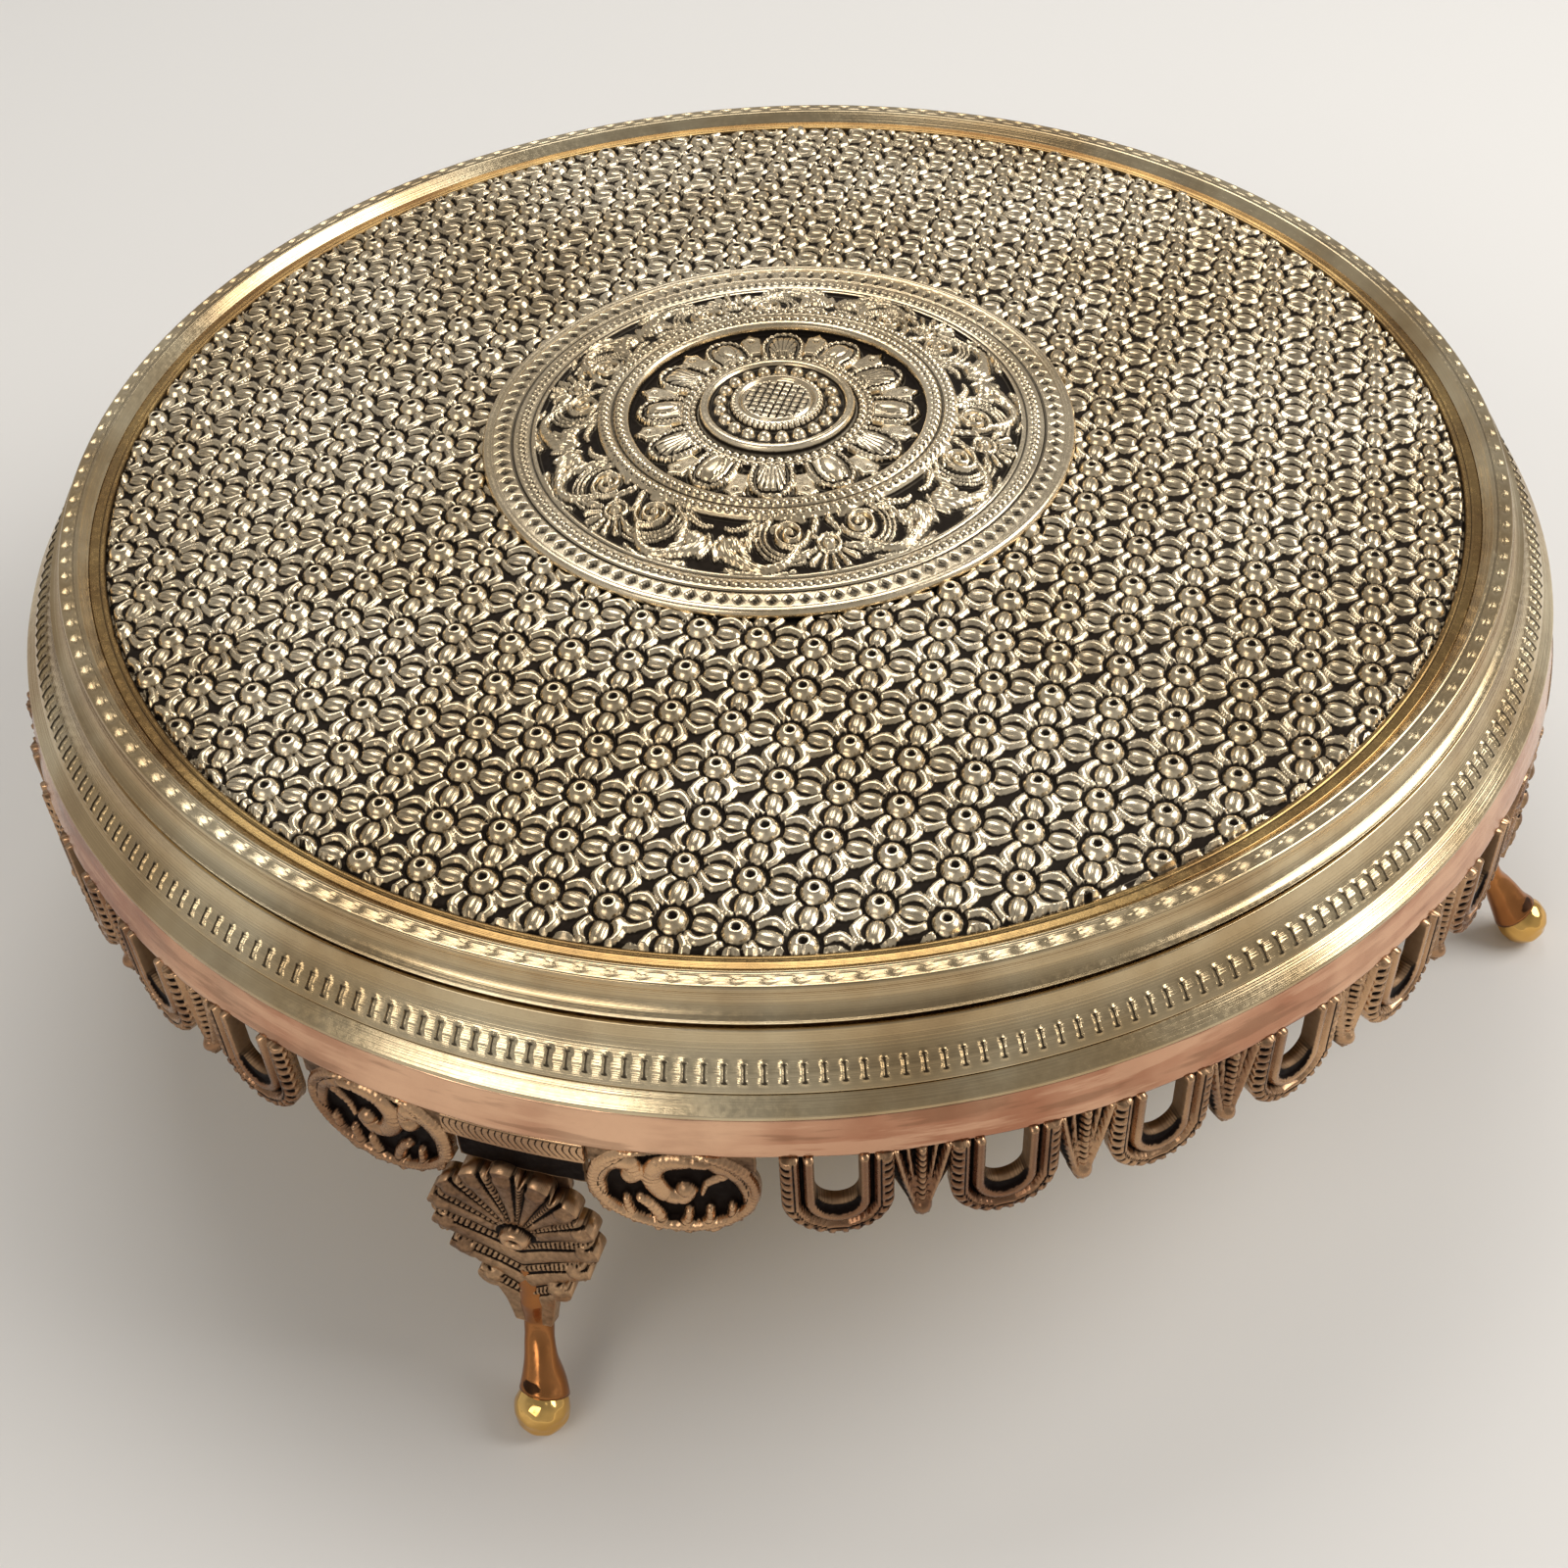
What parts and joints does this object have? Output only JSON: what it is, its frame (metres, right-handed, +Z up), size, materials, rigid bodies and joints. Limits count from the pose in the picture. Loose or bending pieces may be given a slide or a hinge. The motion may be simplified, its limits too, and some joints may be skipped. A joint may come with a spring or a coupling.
{
  "type": "footed round spice box",
  "caption": "Round footed brass spice box with a domed repousse lift-off lid, bowls and spoon inside, pierced gallery and palmette feet.",
  "frame": {"origin": "centre of the four feet on the surface that the box stands on", "axes": "+Z up, +X and +Y each towards a foot; the foot on -Y is the one nearest the picture's camera"},
  "size_m": [0.3264, 0.3264, 0.1103],
  "materials": {
    "chased_brass": "chased, antiqued with black in the recesses",
    "turned_brass": "turned and lightly polished, pale olive",
    "wall_brass": "plain sheet, reddish and satin",
    "cast_brass": "cast and antiqued, black ground",
    "polished_brass": "polished",
    "spun_brass": "spun, satin inside"
  },
  "bodies": {
    "base": {"base_rim": "turned_brass", "step_ring": "turned_brass", "outer_wall": "wall_brass", "pan": "spun_brass", "gallery_1": "cast_brass", "gallery_2": "cast_brass", "gallery_3": "cast_brass", "gallery_4": "cast_brass", "scroll_panel_1": "cast_brass", "scroll_panel_2": "cast_brass", "scroll_panel_3": "cast_brass", "scroll_panel_4": "cast_brass", "scroll_panel_5": "cast_brass", "scroll_panel_6": "cast_brass", "scroll_panel_7": "cast_brass", "scroll_panel_8": "cast_brass", "hatched_strip_1": "cast_brass", "hatched_strip_2": "cast_brass", "hatched_strip_3": "cast_brass", "hatched_strip_4": "cast_brass", "foot_1": "cast_brass", "foot_2": "cast_brass", "foot_3": "cast_brass", "foot_4": "cast_brass", "centre_bowl": "spun_brass", "side_bowl_1": "spun_brass", "side_bowl_2": "spun_brass", "side_bowl_3": "spun_brass", "side_bowl_4": "spun_brass", "side_bowl_5": "spun_brass", "side_bowl_6": "spun_brass", "spoon": "polished_brass"},
    "lid": {"nakshi_panel": "chased_brass", "medallion_plate": "chased_brass", "lotus_rosette": "chased_brass", "lid_ring": "turned_brass", "lid_collar": "spun_brass", "lid_liner": "spun_brass"}
  },
  "joints": [
    {"name": "lid_lift", "type": "slide", "parent": "base", "child": "lid", "axis": [0, 0, 1], "range_m": [0, 0.14]}
  ]
}
